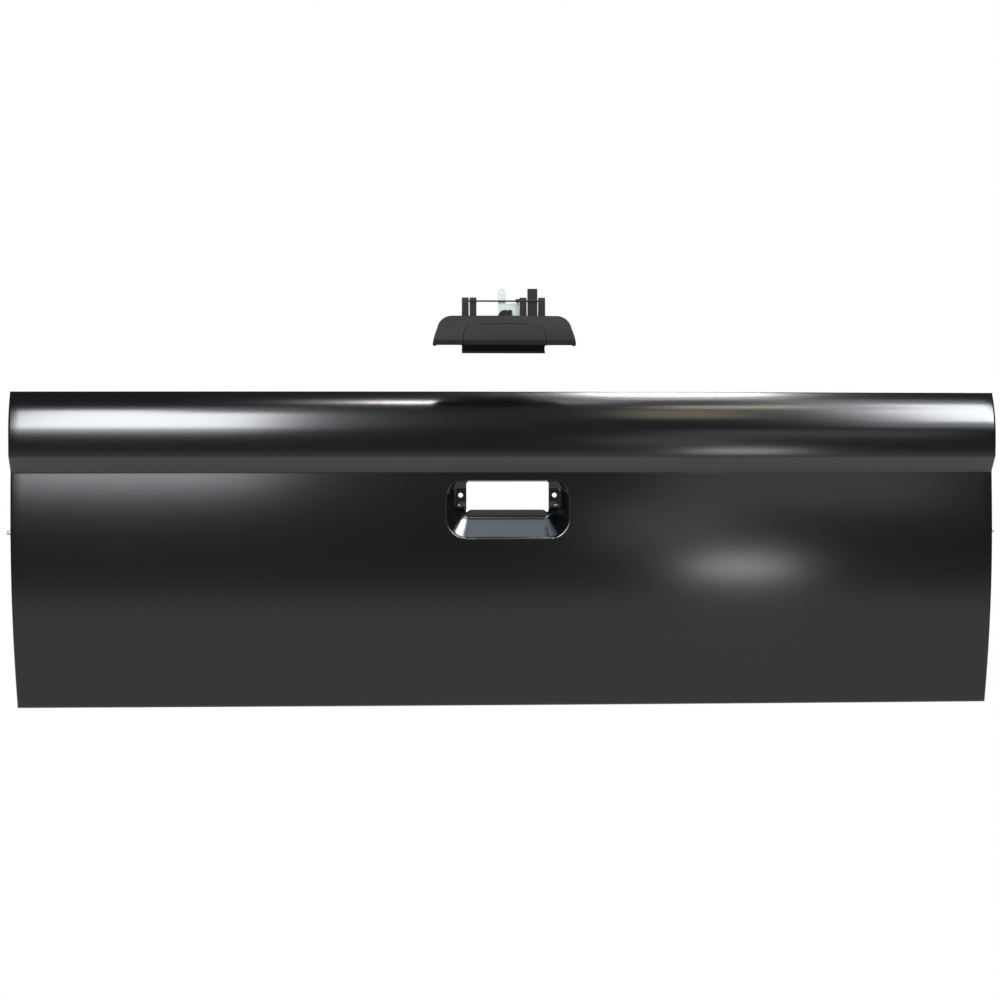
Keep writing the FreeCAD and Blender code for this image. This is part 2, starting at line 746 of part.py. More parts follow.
def rounded_pillow():
    # The handle's outer form with its front edges rounded.
    solid = pillow(0)
    front = []
    for edge in solid.Edges:
        middle = edge.valueAt((edge.FirstParameter + edge.LastParameter) / 2)
        faces = [f for f in solid.Faces if any(edge.isSame(e) for e in f.Edges)]
        sides = [f for f in faces if abs(f.normalAt(*f.Surface.parameter(middle)).y) < 0.001]
        if len(sides) == 1 and middle.y < handle_back_y - 1:
            front.append(edge)
    return solid.makeFillet(handle_edge_radius, front)


def arch_sweep(grow):
    # Paddle outline turned about the shaft, so the paddle swings clear of the bezel.
    half = paddle_width / 2 + grow
    top = handle_bottom_z + paddle_height + grow
    low = handle_bottom_z - handle_height
    wire = rounded_outline(half, low, top, 1.0, paddle_corner_radius + grow, upright(handle_front_y))
    face = Part.Face(wire)
    axis = Vector(0, shaft_y, shaft_z)
    swing = 60.0
    face.rotate(axis, Vector(1, 0, 0), -swing / 2)
    return face.revolve(axis, Vector(1, 0, 0), swing)


def lug(x_low, x_high, y_high, z_low):
    # Upright ear with a rounded top about the shaft and a stepped foot.
    ear = box((x_low, shaft_y - lug_radius, z_low), (x_high, shaft_y + lug_radius, shaft_z))
    foot = box((x_low, shaft_y - lug_radius - ear_foot_step, z_low),
               (x_high, y_high, handle_bottom_z + ear_foot_rise))
    return ear.fuse([foot, cylinder(lug_radius, (x_low, shaft_y, shaft_z), (x_high, shaft_y, shaft_z))])


# Ears along the shaft, from left to right; the bezel carries three and the paddle two
tray_half = window_width / 2 - tray_side_gap
ear_a = (-tray_half, -tray_half + ear_width)
ear_b = (ear_a[1] + lug_gap, ear_a[1] + lug_gap + ear_width)
ear_d = (tray_half - ear_width, tray_half)
ear_l = (ear_d[0] - lug_gap - lever_width, ear_d[0] - lug_gap)
ear_c = (ear_l[0] - lug_gap - ear_width, ear_l[0] - lug_gap)


def make_bezel():
    outer = rounded_pillow()
    shell = outer.cut(pillow(handle_wall))
    shell = shell.cut(box((-width, handle_back_y - 0.01, 0), (width, back_y, height)))
    frame = arch_sweep(paddle_gap + handle_wall).cut(arch_sweep(paddle_gap)).common(outer)
    frame = frame.cut(box((-width, handle_front_y + frame_lip, 0), (width, back_y, height)))
    bezel = shell.cut(arch_sweep(paddle_gap)).fuse(frame)
    tray_low = handle_bottom_z - tray_drop
    tray_top = handle_bottom_z + tray_top_rise
    wall_y = handle_back_y + paddle_gap
    plate_top = handle_bottom_z + paddle_height
    pieces = [
        box((-tray_half, tray_back_y - tray_wall, tray_low), (tray_half, tray_back_y, tray_top)),
        box((-tray_half, tray_back_y - tray_sill, tray_low), (tray_half, tray_back_y, tray_low + tray_wall)),
    ]
    for side in (-1, 1):
        inner = side * (tray_half - tray_wall)
        outer_x = side * tray_half
        clear_x = side * (paddle_width / 2 + paddle_gap)
        frame_x = clear_x + side * handle_wall
        pieces.append(box((min(inner, outer_x), wall_y, handle_bottom_z),
                          (max(inner, outer_x), tray_back_y, tray_top)))
        pieces.append(box((min(inner, frame_x), wall_y, handle_bottom_z),
                          (max(inner, frame_x), wall_y + handle_wall, plate_top)))
        pieces.append(box((min(clear_x, frame_x), handle_front_y + frame_lip - 1, handle_bottom_z + 1),
                          (max(clear_x, frame_x), wall_y + handle_wall, plate_top - paddle_corner_radius)))
    top_wall = box((-tray_half, handle_back_y - handle_wall, tray_top - tray_wall),
                   (tray_half, tray_back_y, tray_top))
    for x_low, x_high in (ear_b, ear_l):
        top_wall = top_wall.cut(box((x_low - lug_gap, -width, 0),
                                    (x_high + lug_gap, tray_back_y - tray_wall, height)))
    pieces.append(top_wall)
    for x_low, x_high in (ear_a, ear_c, ear_d):
        pieces.append(lug(x_low, x_high, tray_back_y, tray_top - 1))
    for side in (-1, 1):
        x = side * screw_spacing / 2
        pieces.append(cylinder(boss_radius, (x, handle_front_y + handle_end_drop / 2 + 0.5, screw_z),
                               (x, face_y + seat_depth - handle_seat_gap, screw_z)))
    bezel = bezel.fuse(pieces).removeSplitter()
    bezel = bezel.cut(cylinder(shaft_radius + shaft_fit / 2, (-width, shaft_y, shaft_z), (width, shaft_y, shaft_z)))
    for side in (-1, 1):
        x = side * screw_spacing / 2
        bezel = bezel.cut(cylinder(stud_radius, (x, handle_back_y - 3, screw_z), (x, back_y, screw_z)))
    return bezel


def paddle_arm(x_low, x_high, top_z):
    # Swan-necked arm from the back of the paddle, under the bezel's top bar and up to the shaft.
    paddle_top = handle_bottom_z + paddle_height
    foot_z = handle_bottom_z + 9
    front = handle_front_y + handle_wall - 1
    back = shaft_y + 4
    swing_radius = math.hypot(handle_front_y - shaft_y, paddle_top - shaft_z) + paddle_gap
    flat = box((x_low, front, foot_z), (x_high, shaft_y, paddle_top))
    flat = flat.cut(cylinder(swing_radius, (x_low - 1, shaft_y, shaft_z), (x_high + 1, shaft_y, shaft_z)))
    flat = flat.common(arch_sweep(0))
    post = box((x_low, shaft_y - 4, foot_z), (x_high, back, top_z))
    return flat.fuse([post, cylinder(lug_radius, (x_low, shaft_y, shaft_z), (x_high, shaft_y, shaft_z))])


def make_paddle():
    shell = rounded_pillow().cut(pillow(handle_wall))
    shell = shell.cut(box((-width, handle_back_y - 0.01, 0), (width, back_y, height)))
    face = shell.common(arch_sweep(0))
    arms = [paddle_arm(ear_b[0], ear_b[1], shaft_z), paddle_arm(ear_l[0], ear_l[1], shaft_z + lever_reach)]
    paddle = face.fuse(arms).removeSplitter()
    return paddle.cut(cylinder(shaft_radius + shaft_fit, (-width, shaft_y, shaft_z), (width, shaft_y, shaft_z)))


def make_tab():
    # Zinc-plated fixing tab: a foot on the tray that narrows to a tongue with a screw hole.
    y = shaft_y + lug_radius - tab_thickness
    foot_z = handle_bottom_z + tray_top_rise
    shoulder_z = shaft_z - tab_plate_drop
    tip_z = shaft_z + tab_rise - tab_half_width
    left = tab_x - tab_half_width
    right = tab_x + tab_half_width
    place = upright(y)
    points = [place(left, foot_z), place(tab_plate_right_x, foot_z), place(tab_plate_right_x, shoulder_z),
              place(right, shoulder_z), place(right, tip_z), place(left, tip_z)]
    plate = Part.Face(Part.makePolygon(points + points[:1])).extrude(Vector(0, tab_thickness, 0))
    plate = plate.fuse(cylinder(tab_half_width, (tab_x, y, tip_z), (tab_x, y + tab_thickness, tip_z)))
    hole_z = shaft_z + tab_hole_rise
    return plate.cut(cylinder(tab_hole_radius, (tab_x, y - 1, hole_z), (tab_x, back_y, hole_z)))


def make_rod_clip():
    # Black half-round clip that stands on the tray in front of the tab.
    y = shaft_y + lug_radius - tab_thickness
    foot_z = handle_bottom_z + tray_top_rise
    centre_z = handle_bottom_z + clip_rise
    disc = cylinder(clip_radius, (clip_x, y - clip_depth, centre_z), (clip_x, y, centre_z))
    disc = disc.cut(box((-width, -width, 0), (width, back_y, centre_z)))
    left = clip_x - clip_radius
    right = clip_x + clip_radius
    foot = box((left, y - clip_depth, foot_z), (right, y, centre_z))
    block = box((right - clip_block_width, y - clip_depth, centre_z),
                (right, y, centre_z + clip_radius))
    return disc.fuse([foot, block]).removeSplitter()


def make_stud(side):
    # Threaded stud moulded into a boss of the bezel, for a nut behind the recess.
    x = side * screw_spacing / 2
    start = handle_back_y - 3
    return cylinder(stud_radius, (x, start, screw_z), (x, start + stud_length, screw_z))


def make_spring():
    # Return spring: coil on the shaft beside an ear, with one leg on the tray and one on the arm.
    coil = spring_coil_radius
    length = spring_pitch * spring_turns
    helix = Part.makeHelix(spring_pitch, length, coil)
    profile = Part.Wire(Part.Circle(Vector(coil, 0, 0), Vector(0, 1, 0), spring_wire_radius).toShape())
    spring = Part.Wire(helix).makePipeShell([profile], True, True)
    legs = [cylinder(spring_wire_radius, (coil, 0, 0), (coil, -spring_leg, 0)),
            cylinder(spring_wire_radius, (coil, 0, length), (coil, spring_leg, length))]
    spring = spring.fuse(legs)
    spring.rotate(Vector(0, 0, 0), Vector(0, 1, 0), -90)
    spring.translate(Vector(ear_c[0] - spring_wire_radius - 0.2, shaft_y, shaft_z))
    return spring


nodes = {}
nodes["outer_panel"] = make_outer_panel()
nodes["inner_panel"] = make_inner_panel()
nodes["handle_reinforcement"] = make_handle_reinforcement()
nodes["top_reinforcement"] = make_top_reinforcement()
for side, label in ((-1, "left"), (1, "right")):
    nodes["latch_reinforcement_" + label] = make_latch_reinforcement(side)
    nodes["strap_stud_" + label] = make_strap_stud(side)
    nodes["strap_nut_" + label] = make_strap_nut(side)
    nodes["hinge_reinforcement_" + label] = make_hinge_reinforcement(side)
    nodes["hinge_nut_" + label + "_outer"] = make_hinge_nut(side, side)
    nodes["hinge_nut_" + label + "_inner"] = make_hinge_nut(side, -side)
handle = {}
handle["handle_bezel"] = make_bezel()
handle["handle_paddle"] = make_paddle()
handle["handle_shaft"] = cylinder(shaft_radius, (-tray_half, shaft_y, shaft_z), (tray_half, shaft_y, shaft_z))
handle["fixing_tab"] = make_tab()
handle["rod_clip"] = make_rod_clip()
handle["handle_spring"] = make_spring()
handle["handle_stud_left"] = make_stud(-1)
handle["handle_stud_right"] = make_stud(1)
for name, shape in handle.items():
    shape.translate(lift)
    nodes[name] = shape

os.makedirs("parts", exist_ok=True)
for name, shape in nodes.items():
    shape.exportStep("parts/" + name + ".step")
    print(name, len(shape.Solids), shape.isValid(), round(shape.Volume))
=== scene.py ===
import bpy
import bmesh
import json
import math
import numpy as np
from mathutils import Matrix, Vector


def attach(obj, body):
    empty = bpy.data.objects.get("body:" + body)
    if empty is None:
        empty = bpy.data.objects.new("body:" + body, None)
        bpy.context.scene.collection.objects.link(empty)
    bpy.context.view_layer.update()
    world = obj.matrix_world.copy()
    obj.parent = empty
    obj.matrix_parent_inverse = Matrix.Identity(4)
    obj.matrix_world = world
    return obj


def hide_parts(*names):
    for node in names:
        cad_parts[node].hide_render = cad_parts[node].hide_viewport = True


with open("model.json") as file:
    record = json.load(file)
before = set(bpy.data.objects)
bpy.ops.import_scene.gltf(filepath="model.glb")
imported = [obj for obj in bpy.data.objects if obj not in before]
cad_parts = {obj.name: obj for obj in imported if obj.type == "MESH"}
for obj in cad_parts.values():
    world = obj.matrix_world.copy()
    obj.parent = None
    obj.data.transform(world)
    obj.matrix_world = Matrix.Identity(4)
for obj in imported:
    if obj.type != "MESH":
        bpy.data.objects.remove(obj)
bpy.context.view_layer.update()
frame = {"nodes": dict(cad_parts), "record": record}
nodes = frame["nodes"]
MM = 0.001

# Section of the skin in millimetres, the same as the solid part
HALF_WIDTH = 710.0
HEIGHT = 452.0
CROWN_BOW = 12.0
BOTTOM_TAPER = 8.0
EDGE_RADIUS = 3.0
FACE_Y = -35.0
FACE_CROWN_Z = 277.0
FACE_TUCK = 20.0
ROLL_Y = -58.0
ROLL_CROWN_Z = 392.0
ROLL_RADIUS = 106.0
ROLL_LOWER_RADIUS = 260.0
ROLL_BOTTOM_Z = 357.6
STEP_ANGLE = math.radians(46.0)
STEP_RADIUS = 4.0
CREASE_RADIUS = 3.0
SKIN = 1.3
FLANGE_Y = 9.0
BARREL_RADIUS = (FACE_CROWN_Z ** 2 + FACE_TUCK ** 2) / (2 * FACE_TUCK)
PLAN_RADIUS = (HALF_WIDTH ** 2 + CROWN_BOW ** 2) / (2 * CROWN_BOW)
PLAN_AXIS_Y = FACE_Y + PLAN_RADIUS
END_RADIUS = (FACE_CROWN_Z ** 2 + BOTTOM_TAPER ** 2) / (2 * BOTTOM_TAPER)

# Recess
RECESS_WIDTH = 174.0
RECESS_TOP_Z = 324.2
RECESS_HEIGHT = 83.8
RECESS_TOP_WALL = 8.0
RECESS_DEPTH = 31.0
RECESS_RIDGE_Z = 272.5
RECESS_BACK_WIDTH = 156.0
RECESS_RIDGE_WIDTH = 130.0
RECESS_BACK_RADIUS = 9.0
RECESS_TOP_RADIUS = 21.0
RECESS_BOTTOM_RADIUS = 28.0
RECESS_LEAD = 15.0
RECESS_BACK_DROP = 0.5
RECESS_DEEPEST_SHARE = 1.25
SLANT_REACH = (-0.5, 1.5)
RIM_RADIUS = 2.5
FLOOR_RADIUS = 4.0
WINDOW_HALF = 59.5
WINDOW_Z = (282.3, 322.8)
WINDOW_RADIUS = 3.5
NOTCH_WIDTH = 7.0
NOTCH_DEPTH = 3.7
NOTCH_FLAT = 2.0
NOTCH_HEIGHT = 5.0
SCREW_X = 67.8
SCREW_Z = 303.4
SCREW_RADIUS = 3.45
SEAT_DEPTH = 12.0
SEAT_X = (55.5, 76.5)
SEAT_Z = (285.0, 312.0)
SEAT_RADIUS = 4.5
SEAT_LOWER_RADIUS = 8.0
SEAT_DRAFT = 2.2
SEAT_SOFTNESS = 2.4
DIMPLE_PLACE = (63.0, 290.4)
DIMPLE_HALF = (9.0, 3.4)
DIMPLE_DEPTH = 1.4

# Openings of the end walls and the bottom flange
LATCH_Y = (-13.0, 5.0)
LATCH_Z = (299.0, 345.0)
LATCH_SCREW_Z = (289.0, 355.0)
LATCH_SCREW_RADIUS = 3.3
STRAP_PLACE = (0.0, 251.0)
STRAP_HOLE_RADIUS = 5.25
HINGE_X = (490.0, 550.0)
HINGE_HOLE_RADIUS = 4.25
DRAIN_X = 330.0
DRAIN_RADIUS = 4.0
FLANGE_HOLE_Y = 3.0
CUT_REACH = 20.0

# Front skin of the handle, in its fitted place, and where the handle is held from there
HANDLE_FRONT_Y = -48.5
HANDLE_HALF = 100.35
HANDLE_END_DROP = 6.0
HANDLE_TOP_DROP = 8.0
HANDLE_SWELL = 0.28
HANDLE_KNEE_Z = 293.4
HANDLE_HIGH_Z = 330.0
HANDLE_LOW_Z = 280.0
HANDLE_UNDER_SLOPE = 0.5
LIFT = (-10.6, -91.0, 224.1)

# Fine patch around the recess
PATCH_X = 97.0
PATCH_Z = (233.0, 331.0)
PATCH_CELL = 0.8
PATCH_MARGIN = 0.01

# Fineness of the meshes, and the steps of the searches
FACE_ROWS = 48
PATCH_ROWS = 25
UPPER_FACE_ROWS = 3
CREASE_STEPS = 10
SLOPE_ROWS = 8
STEP_STEPS = 14
LOWER_ROLL_ROWS = 19
UPPER_ROLL_ROWS = 45
SIDE_COLUMNS = 46
PATCH_COLUMNS = 17
EDGE_STEPS = 6
FLANGE_STEPS = 4
STEP_LONGEST = 60.0
STEP_HALVINGS = 60
RECESS_HALVINGS = 30
PROBE_STEP = 0.01
NEAREST = 1e-6
MERGE_DISTANCE = MM / 500
SHORTEST_EDGE = MM / 200

# Largest angle between faces that are shaded as one
SHEET_ANGLE = 35
MOULDING_ANGLE = 28

# Looks
ROUGHNESS_VARIATION = 0.02
GRAIN_DETAIL = 3
GRAIN_HEIGHT = 0.0001
LAMP_POWER = 4
ROOM_TONE = (0.15, 0.15, 0.155, 1)
FLOOR_Z = -0.45
FLOOR_HALF = 4
BOARD_Y = -3.45
COOL = (0.93, 0.96, 1.0)

# Camera, angles in radians
CAMERA_PLACE = (-0.2189, -3.4, 0.2263)
CAMERA_YAW = -0.0615
CAMERA_PITCH = 0.0207
CAMERA_ROLL = 0.00288
SENSOR_WIDTH = 36
LENS_SHARE = 2.34583


def barrel_y(z):
    return FACE_Y + BARREL_RADIUS - np.sqrt(BARREL_RADIUS ** 2 - (z - FACE_CROWN_Z) ** 2)


def roll_y(z, radius):
    return ROLL_Y + radius - np.sqrt(radius ** 2 - (z - ROLL_CROWN_Z) ** 2)


def profile():
    # Points (y, z) and normals of the outer section, from the bottom bend up to the top bend.
    step_top = np.array([roll_y(ROLL_BOTTOM_Z, ROLL_LOWER_RADIUS), ROLL_BOTTOM_Z])
    direction = np.array([math.sin(STEP_ANGLE), -math.cos(STEP_ANGLE)])
    low, high = 0.0, STEP_LONGEST
    for _ in range(STEP_HALVINGS):
        middle = (low + high) / 2
        point = step_top + middle * direction
        if point[0] < barrel_y(point[1]):
            low = middle
        else:
            high = middle
    crease = step_top + low * direction
    step_normal = np.array([-math.cos(STEP_ANGLE), -math.sin(STEP_ANGLE)])

    def barrel_normal(z):
        tilt = math.asin((z - FACE_CROWN_Z) / BARREL_RADIUS)
        return np.array([-math.cos(tilt), math.sin(tilt)])

    def roll_normal(z, radius):
        tilt = math.asin((z - ROLL_CROWN_Z) / radius)
        return np.array([-math.cos(tilt), math.sin(tilt)])

    def bend(corner, normal_a, normal_b, radius, steps):
        # Fillet between two nearly straight runs that meet at corner; a positive radius is convex.
        half = math.acos(float(np.clip(normal_a @ normal_b, -1, 1))) / 2
        bisector = (normal_a + normal_b) / np.linalg.norm(normal_a + normal_b)
        centre = corner - bisector * radius / math.cos(half)
        out = []
        for i in range(steps + 1):
            t = i / steps
            n = normal_a * math.sin((1 - t) * 2 * half) + normal_b * math.sin(t * 2 * half)
            n = n / np.linalg.norm(n)
            out.append((centre + radius * n, n))
        return out

    bottom_z = EDGE_RADIUS - EDGE_RADIUS * FACE_CROWN_Z / BARREL_RADIUS
    crease_bend = bend(crease, barrel_normal(crease[1]), step_normal, -CREASE_RADIUS, CREASE_STEPS)
    step_end = roll_normal(ROLL_BOTTOM_Z, ROLL_LOWER_RADIUS)
    step_bend = bend(step_top, step_normal, step_end, STEP_RADIUS, STEP_STEPS)
    rows = []
    z_lines = list(np.linspace(bottom_z, PATCH_Z[0], FACE_ROWS))
    z_lines += list(np.linspace(PATCH_Z[0], PATCH_Z[1], PATCH_ROWS))[1:]
    crease_start = crease_bend[0][0][1]
    z_lines += list(np.linspace(PATCH_Z[1], crease_start, UPPER_FACE_ROWS))[1:-1]
    for z in z_lines:
        rows.append((np.array([barrel_y(z), z]), barrel_normal(z)))
    rows += crease_bend
    for t in np.linspace(0, 1, SLOPE_ROWS)[1:-1]:
        rows.append((crease_bend[-1][0] * (1 - t) + step_bend[0][0] * t, step_normal))
    rows += step_bend
    top_z = HEIGHT - EDGE_RADIUS - EDGE_RADIUS * ROLL_CROWN_Z / ROLL_RADIUS
    top_z = top_z / (1 - EDGE_RADIUS / ROLL_RADIUS)
    for z in np.linspace(step_bend[-1][0][1], ROLL_CROWN_Z, LOWER_ROLL_ROWS)[1:]:
        rows.append((np.array([roll_y(z, ROLL_LOWER_RADIUS), z]), roll_normal(z, ROLL_LOWER_RADIUS)))
    for z in np.linspace(ROLL_CROWN_Z, top_z, UPPER_ROLL_ROWS)[1:]:
        rows.append((np.array([roll_y(z, ROLL_RADIUS), z]), roll_normal(z, ROLL_RADIUS)))
    return rows


def end_x(z):
    drop = np.maximum(FACE_CROWN_Z - z, 0)
    return HALF_WIDTH - (END_RADIUS - np.sqrt(END_RADIUS ** 2 - drop ** 2))


def bowed(y, x):
    return PLAN_AXIS_Y - np.sqrt((PLAN_AXIS_Y - y) ** 2 - x ** 2)


def new_object(name, points, faces):
    mesh = bpy.data.meshes.new(name)
    mesh.from_pydata([tuple(p) for p in np.asarray(points) * MM], [], faces)
    mesh.update()
    obj = bpy.data.objects.new(name, mesh)
    bpy.context.scene.collection.objects.link(obj)
    return obj


def finish_shading(obj, degrees):
    mesh = obj.data
    mesh.polygons.foreach_set("use_smooth", [True] * len(mesh.polygons))
    mesh.set_sharp_from_angle(angle=math.radians(degrees))


def apply_modifiers(obj):
    bpy.context.view_layer.update()
    graph = bpy.context.evaluated_depsgraph_get()
    made = bpy.data.meshes.new_from_object(obj.evaluated_get(graph))
    obj.modifiers.clear()
    obj.data = made
    finish_shading(obj, SHEET_ANGLE)


def thicken(obj):
    # Gives the surface its sheet thickness, behind the outer side.
    solid = obj.modifiers.new("sheet", "SOLIDIFY")
    solid.thickness = SKIN * MM
    solid.offset = -1
    solid.use_even_offset = False
    apply_modifiers(obj)


def make_skin():
    rows = profile()
    count = len(rows)
    straight_half = HALF_WIDTH - EDGE_RADIUS
    outer = np.linspace(PATCH_X, straight_half, SIDE_COLUMNS) / straight_half
    inner = np.linspace(-PATCH_X, PATCH_X, PATCH_COLUMNS) / straight_half
    share = np.concatenate([-outer[::-1], inner[1:-1], outer])
    columns = len(share)
    points, normals = [], []
    for (y, z), n in rows:
        reach = end_x(z) - EDGE_RADIUS
        for s in share:
            x = s * straight_half
            if abs(x) > PATCH_X + PATCH_MARGIN:
                part = (abs(x) - PATCH_X) / (straight_half - PATCH_X)
                x = math.copysign(PATCH_X + part * (reach - PATCH_X), x)
            turn = math.asin(x / (PLAN_AXIS_Y - y))
            points.append((x, bowed(y, x), z))
            normals.append((n[0] * math.sin(turn), n[0] * math.cos(turn), n[1]))
    faces = []
    for i in range(count - 1):
        z_middle = (rows[i][0][1] + rows[i + 1][0][1]) / 2
        for j in range(columns - 1):
            x_middle = (share[j] + share[j + 1]) / 2 * straight_half
            if abs(x_middle) < PATCH_X and PATCH_Z[0] < z_middle < PATCH_Z[1]:
                continue
            a = i * columns + j
            faces.append((a, a + 1, a + columns + 1, a + columns))
    # Bend and flange all round, ring by ring
    loop = list(range(columns))
    loop += [i * columns + columns - 1 for i in range(1, count)]
    loop += [(count - 1) * columns + j for j in range(columns - 2, -1, -1)]
    loop += [i * columns for i in range(count - 2, 0, -1)]
    outward = []
    for index in loop:
        i, j = divmod(index, columns)
        o = np.array([0.0, 0.0, 0.0])
        if j == 0:
            o[0] = -1
        if j == columns - 1:
            o[0] = 1
        if i == 0:
            o[2] = -1
        if i == count - 1:
            o[2] = 1
        outward.append(o)
    total = len(loop)
    previous = loop
    ends = []
    for step in range(1, EDGE_STEPS + FLANGE_STEPS + 1):
        current = []
        for k, index in enumerate(loop):
            p, n, o = np.array(points[index]), np.array(normals[index]), outward[k]
            centre = p - EDGE_RADIUS * n
            if step <= EDGE_STEPS:
                t = step / EDGE_STEPS
                unit = o / np.linalg.norm(o)
                angle = math.acos(float(np.clip(n @ unit, -1, 1)))
                w = (n * math.sin((1 - t) * angle) + unit * math.sin(t * angle)) / math.sin(angle)
                q = centre + EDGE_RADIUS * w
                if o[0] and o[2]:
                    # Mitre: both straight edges keep their distance from the centre
                    q = centre + EDGE_RADIUS * (w + unit * (math.sqrt(2) - 1) * t)
                if step == EDGE_STEPS:
                    ends.append(q)
            else:
                t = (step - EDGE_STEPS) / FLANGE_STEPS
                q = ends[k].copy()
                q[1] = q[1] * (1 - t) + FLANGE_Y * t
            current.append(len(points))
            points.append(tuple(q))
            normals.append(tuple(o))
        for k in range(total):
            m = (k + 1) % total
            faces.append((previous[m], previous[k], current[k], current[m]))
        previous = current
    obj = new_object("outer_skin", points, faces)
    thicken(obj)
    cut_openings(obj)
    return obj


def corner_distance(qx, z, low, high, radius):
    # Signed distance of an outline with rounded corners, where qx is the distance past its sides.
    qz = np.abs(z - (low + high) / 2) - ((high - low) / 2 - radius)
    outside = np.hypot(np.maximum(qx, 0), np.maximum(qz, 0))
    return outside + np.minimum(np.maximum(qx, qz), 0) - radius


def rounded_rectangle(x, z, half, low, high, low_radius, high_radius):
    # Signed distance to a rounded rectangle, negative inside.
    radius = np.where(z < (low + high) / 2, low_radius, high_radius)
    return corner_distance(np.abs(x) - (half - radius), z, low, high, radius)


def rounded_trapezium(x, z, low_half, high_half, low, high, low_radius, high_radius):
    # The same with sides that slant from low_half at the bottom to high_half at the top.
    part = (z - low) / (high - low)
    half = low_half + (high_half - low_half) * np.clip(part, *SLANT_REACH)
    slant = np.arctan2(high_half - low_half, high - low)
    radius = np.where(z < (low + high) / 2, low_radius, high_radius)
    return corner_distance((np.abs(x) - half) * np.cos(slant) + radius, z, low, high, radius)


def before_rim(at_rim, at_back, depth):
    # Size that far ahead of the rim where the walls start.
    share = RECESS_LEAD / (RECESS_LEAD + depth)
    return (at_rim - share * at_back) / (1 - share)


def soft_min(a, b, radius):
    # Smaller of two depths, with the corner between them rounded.
    h = np.clip(0.5 + 0.5 * (b - a) / radius, 0, 1)
    return b * (1 - h) + a * h - radius * h * (1 - h)


def recess_depth(x, z):
    back_low, back_high = RECESS_RIDGE_Z, RECESS_TOP_Z - RECESS_BACK_DROP
    scoop_slope = (RECESS_RIDGE_Z - (RECESS_TOP_Z - RECESS_HEIGHT)) / RECESS_DEPTH
    front_low = RECESS_TOP_Z - RECESS_HEIGHT - scoop_slope * RECESS_LEAD
    front_high = RECESS_TOP_Z + RECESS_BACK_DROP / RECESS_TOP_WALL * RECESS_LEAD
    rim_half, top_half, ridge_half = RECESS_WIDTH / 2, RECESS_BACK_WIDTH / 2, RECESS_RIDGE_WIDTH / 2
    front_top_half = before_rim(rim_half, top_half, RECESS_TOP_WALL)
    front_low_half = before_rim(rim_half, ridge_half, RECESS_DEPTH)
    front_top_radius = before_rim(RECESS_TOP_RADIUS, RECESS_BACK_RADIUS, RECESS_TOP_WALL)
    front_low_radius = before_rim(RECESS_BOTTOM_RADIUS, RECESS_BACK_RADIUS, RECESS_DEPTH)

    def outline(t):
        return rounded_trapezium(
            x, z, front_low_half * (1 - t) + ridge_half * t, front_top_half * (1 - t) + top_half * t,
            front_low * (1 - t) + back_low * t, front_high * (1 - t) + back_high * t,
            front_low_radius * (1 - t) + RECESS_BACK_RADIUS * t,
            front_top_radius * (1 - t) + RECESS_BACK_RADIUS * t)

    low = np.zeros_like(x)
    high = np.full_like(x, RECESS_DEEPEST_SHARE)
    for _ in range(RECESS_HALVINGS):
        middle = (low + high) / 2
        inside = outline(middle) < 0
        low = np.where(inside, middle, low)
        high = np.where(inside, high, middle)
    t = low
    across_low = front_low * (1 - t) + back_low * t
    across_high = front_high * (1 - t) + back_high * t
    part = np.clip((z - across_low) / np.maximum(across_high - across_low, 1.0), 0, 1)
    back_depth_here = RECESS_DEPTH + (RECESS_TOP_WALL - RECESS_DEPTH) * part
    wall = -RECESS_LEAD + t * (back_depth_here + RECESS_LEAD)
    back = RECESS_DEPTH + (RECESS_TOP_WALL - RECESS_DEPTH) * (z - back_low) / (back_high - back_low)
    depth = soft_min(wall, back, FLOOR_RADIUS)
    seat_x = np.abs(x) - (SEAT_X[0] + SEAT_X[1]) / 2
    seat_half = (SEAT_X[1] - SEAT_X[0]) / 2
    seat = rounded_rectangle(seat_x, z, seat_half, SEAT_Z[0], SEAT_Z[1], SEAT_LOWER_RADIUS, SEAT_RADIUS)
    seat_wall = SEAT_DEPTH + np.maximum(seat, 0) * SEAT_DRAFT
    depth = soft_min(depth, seat_wall, SEAT_SOFTNESS)
    dimple_x = (np.abs(x) - DIMPLE_PLACE[0]) / DIMPLE_HALF[0]
    dimple_z = (z - DIMPLE_PLACE[1]) / DIMPLE_HALF[1]
    depth = depth + DIMPLE_DEPTH * np.clip(1 - (dimple_x ** 2 + dimple_z ** 2), 0, 1) ** 0.5
    return -soft_min(-depth, np.zeros_like(depth), RIM_RADIUS)


